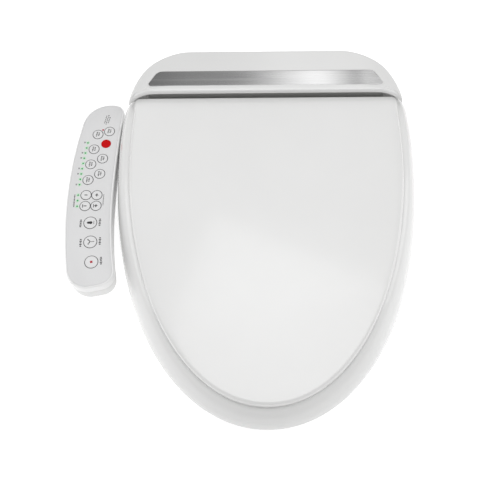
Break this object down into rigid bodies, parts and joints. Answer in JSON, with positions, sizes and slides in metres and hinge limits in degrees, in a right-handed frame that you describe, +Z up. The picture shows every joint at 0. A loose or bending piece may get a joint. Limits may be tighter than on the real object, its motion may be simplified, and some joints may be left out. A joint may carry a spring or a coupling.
{
  "type": "electric bidet seat",
  "caption": "Electric bidet toilet seat: hinged lid and heated seat ring on a rear casing, with a curved side arm of push buttons, a sliding wash nozzle and a warm-air outlet.",
  "frame": {"origin": "on the toilet's deck, midway between the two fixing bolts", "axes": "+X to the right of someone facing the seat, +Y towards the cistern, +Z up"},
  "size_m": [0.5022, 0.5485, 0.118],
  "materials": {
    "white_plastic": "satin gloss moulded plastic",
    "warm_white_plastic": "satin moulded plastic",
    "inner_plastic": "plain moulded plastic",
    "grey_plastic": "fine textured",
    "dark_plastic": "fine textured",
    "button_plastic": "satin",
    "button_red": "satin",
    "keypad_film": "printed satin film",
    "heater_film": "film",
    "lamp_green": "translucent",
    "lamp_red": "translucent",
    "board": "solder mask",
    "trim_steel": "brushed along its length",
    "steel": "satin",
    "brass": "nickel-free satin",
    "rubber": "soft matt"
  },
  "bodies": {
    "casing": {"base_tray": "warm_white_plastic", "rear_cover": "white_plastic", "trim_plate": "trim_steel", "hinge_shroud": "grey_plastic", "front_cover": "warm_white_plastic", "hinge_pin_left": "steel", "hinge_pin_right": "steel", "arm_base": "warm_white_plastic", "arm_cover": "white_plastic", "keypad_overlay": "keypad_film", "keypad_board": "board", "light_guide": "lamp_green", "power_lamp": "lamp_red", "arm_bracket": "steel", "nozzle_motor": "steel", "nozzle_cradle": "inner_plastic", "fan_housing": "inner_plastic", "fan_motor": "steel", "air_duct": "inner_plastic", "inlet_connector": "brass", "solenoid_valve": "inner_plastic", "water_tank": "inner_plastic", "main_board": "board", "cable_gland": "dark_plastic"},
    "seat": {"seat_top": "white_plastic", "seat_base": "inner_plastic", "seat_heater": "heater_film", "seat_hinge_left": "inner_plastic", "seat_hinge_right": "inner_plastic", "seat_bumper_front_left": "rubber", "seat_bumper_front_right": "rubber", "seat_bumper_rear_left": "rubber", "seat_bumper_rear_right": "rubber"},
    "lid": {"lid": "white_plastic", "lid_hinge_left": "inner_plastic", "lid_hinge_right": "inner_plastic", "lid_bumper_left": "rubber", "lid_bumper_right": "rubber"},
    "nozzle": {"nozzle": "steel", "nozzle_rack": "inner_plastic"},
    "nozzle_gear": {"nozzle_gear": "brass"},
    "impeller": {"impeller": "inner_plastic"},
    "air_flap": {"air_flap": "warm_white_plastic"},
    "mount_plate": {"mount_plate": "inner_plastic"},
    "release_button": {"release_button": "grey_plastic"},
    "button_pressure": {"button_pressure": "button_plastic"},
    "button_water_warmth": {"button_water_warmth": "button_plastic"},
    "button_seat_warmth": {"button_seat_warmth": "button_plastic"},
    "button_spray_place": {"button_spray_place": "button_plastic"},
    "button_minus": {"button_minus": "button_plastic"},
    "button_less": {"button_less": "button_plastic"},
    "button_saving": {"button_saving": "button_plastic"},
    "button_power": {"button_power": "button_red"},
    "button_air_warmth": {"button_air_warmth": "button_plastic"},
    "button_pulse": {"button_pulse": "button_plastic"},
    "button_plus": {"button_plus": "button_plastic"},
    "button_more": {"button_more": "button_plastic"},
    "button_rear_wash": {"button_rear_wash": "button_plastic"},
    "button_front_wash": {"button_front_wash": "button_plastic"},
    "button_stop": {"button_stop": "button_plastic"}
  },
  "joints": [
    {"name": "seat_hinge", "type": "hinge", "parent": "casing", "child": "seat", "pos_m": [0, -0.042, 0.086], "axis": [-1, 0, 0], "range_deg": [0, 100]},
    {"name": "lid_hinge", "type": "hinge", "parent": "seat", "child": "lid", "pos_m": [0, -0.042, 0.086], "axis": [1, 0, 0], "range_deg": [-104, 0]},
    {"name": "nozzle_slide", "type": "slide", "parent": "casing", "child": "nozzle", "axis": [0, -0.9703, -0.2419], "range_m": [0, 0.09]},
    {"name": "nozzle_gear_spin", "type": "hinge", "parent": "casing", "child": "nozzle_gear", "pos_m": [0.0195, -0.08148, 0.02987], "axis": [0, -0.2419, 0.9703], "range_deg": [0, 573]},
    {"name": "impeller_spin", "type": "hinge", "parent": "casing", "child": "impeller", "pos_m": [0.078, 0.008, 0.023], "axis": [0, 0, 1], "continuous": true},
    {"name": "air_flap_hinge", "type": "hinge", "parent": "casing", "child": "air_flap", "pos_m": [0.066, -0.1027, 0.0348], "axis": [-1, 0, 0], "range_deg": [0, 60]},
    {"name": "mount_plate_slide", "type": "slide", "parent": "casing", "child": "mount_plate", "axis": [0, 1, 0], "range_m": [0, 0.08]},
    {"name": "release_button_press", "type": "slide", "parent": "casing", "child": "release_button", "axis": [-0.906, -0.4233, 0], "range_m": [0, 0.003], "stiffness_N_per_m": 500, "springref_m": -0.002},
    {"name": "button_pressure_press", "type": "slide", "parent": "casing", "child": "button_pressure", "axis": [0, 0, -1], "range_m": [0, 0.0008], "stiffness_N_per_m": 600, "springref_m": -0.001},
    {"name": "button_water_warmth_press", "type": "slide", "parent": "casing", "child": "button_water_warmth", "axis": [0, 0, -1], "range_m": [0, 0.0008], "stiffness_N_per_m": 600, "springref_m": -0.001},
    {"name": "button_seat_warmth_press", "type": "slide", "parent": "casing", "child": "button_seat_warmth", "axis": [0, 0, -1], "range_m": [0, 0.0008], "stiffness_N_per_m": 600, "springref_m": -0.001},
    {"name": "button_spray_place_press", "type": "slide", "parent": "casing", "child": "button_spray_place", "axis": [0, 0, -1], "range_m": [0, 0.0008], "stiffness_N_per_m": 600, "springref_m": -0.001},
    {"name": "button_minus_press", "type": "slide", "parent": "casing", "child": "button_minus", "axis": [0, 0, -1], "range_m": [0, 0.0008], "stiffness_N_per_m": 600, "springref_m": -0.001},
    {"name": "button_less_press", "type": "slide", "parent": "casing", "child": "button_less", "axis": [0, 0, -1], "range_m": [0, 0.0008], "stiffness_N_per_m": 600, "springref_m": -0.001},
    {"name": "button_saving_press", "type": "slide", "parent": "casing", "child": "button_saving", "axis": [0, 0, -1], "range_m": [0, 0.0008], "stiffness_N_per_m": 600, "springref_m": -0.001},
    {"name": "button_power_press", "type": "slide", "parent": "casing", "child": "button_power", "axis": [0, 0, -1], "range_m": [0, 0.0008], "stiffness_N_per_m": 600, "springref_m": -0.001},
    {"name": "button_air_warmth_press", "type": "slide", "parent": "casing", "child": "button_air_warmth", "axis": [0, 0, -1], "range_m": [0, 0.0008], "stiffness_N_per_m": 600, "springref_m": -0.001},
    {"name": "button_pulse_press", "type": "slide", "parent": "casing", "child": "button_pulse", "axis": [0, 0, -1], "range_m": [0, 0.0008], "stiffness_N_per_m": 600, "springref_m": -0.001},
    {"name": "button_plus_press", "type": "slide", "parent": "casing", "child": "button_plus", "axis": [0, 0, -1], "range_m": [0, 0.0008], "stiffness_N_per_m": 600, "springref_m": -0.001},
    {"name": "button_more_press", "type": "slide", "parent": "casing", "child": "button_more", "axis": [0, 0, -1], "range_m": [0, 0.0008], "stiffness_N_per_m": 600, "springref_m": -0.001},
    {"name": "button_rear_wash_press", "type": "slide", "parent": "casing", "child": "button_rear_wash", "axis": [0, 0, -1], "range_m": [0, 0.0008], "stiffness_N_per_m": 600, "springref_m": -0.001},
    {"name": "button_front_wash_press", "type": "slide", "parent": "casing", "child": "button_front_wash", "axis": [0, 0, -1], "range_m": [0, 0.0008], "stiffness_N_per_m": 600, "springref_m": -0.001},
    {"name": "button_stop_press", "type": "slide", "parent": "casing", "child": "button_stop", "axis": [0, 0, -1], "range_m": [0, 0.0008], "stiffness_N_per_m": 600, "springref_m": -0.001}
  ],
  "couplings": [
    {"joint": "nozzle_gear_spin", "follows": "nozzle_slide", "rad_per_m": 111.11}
  ]
}
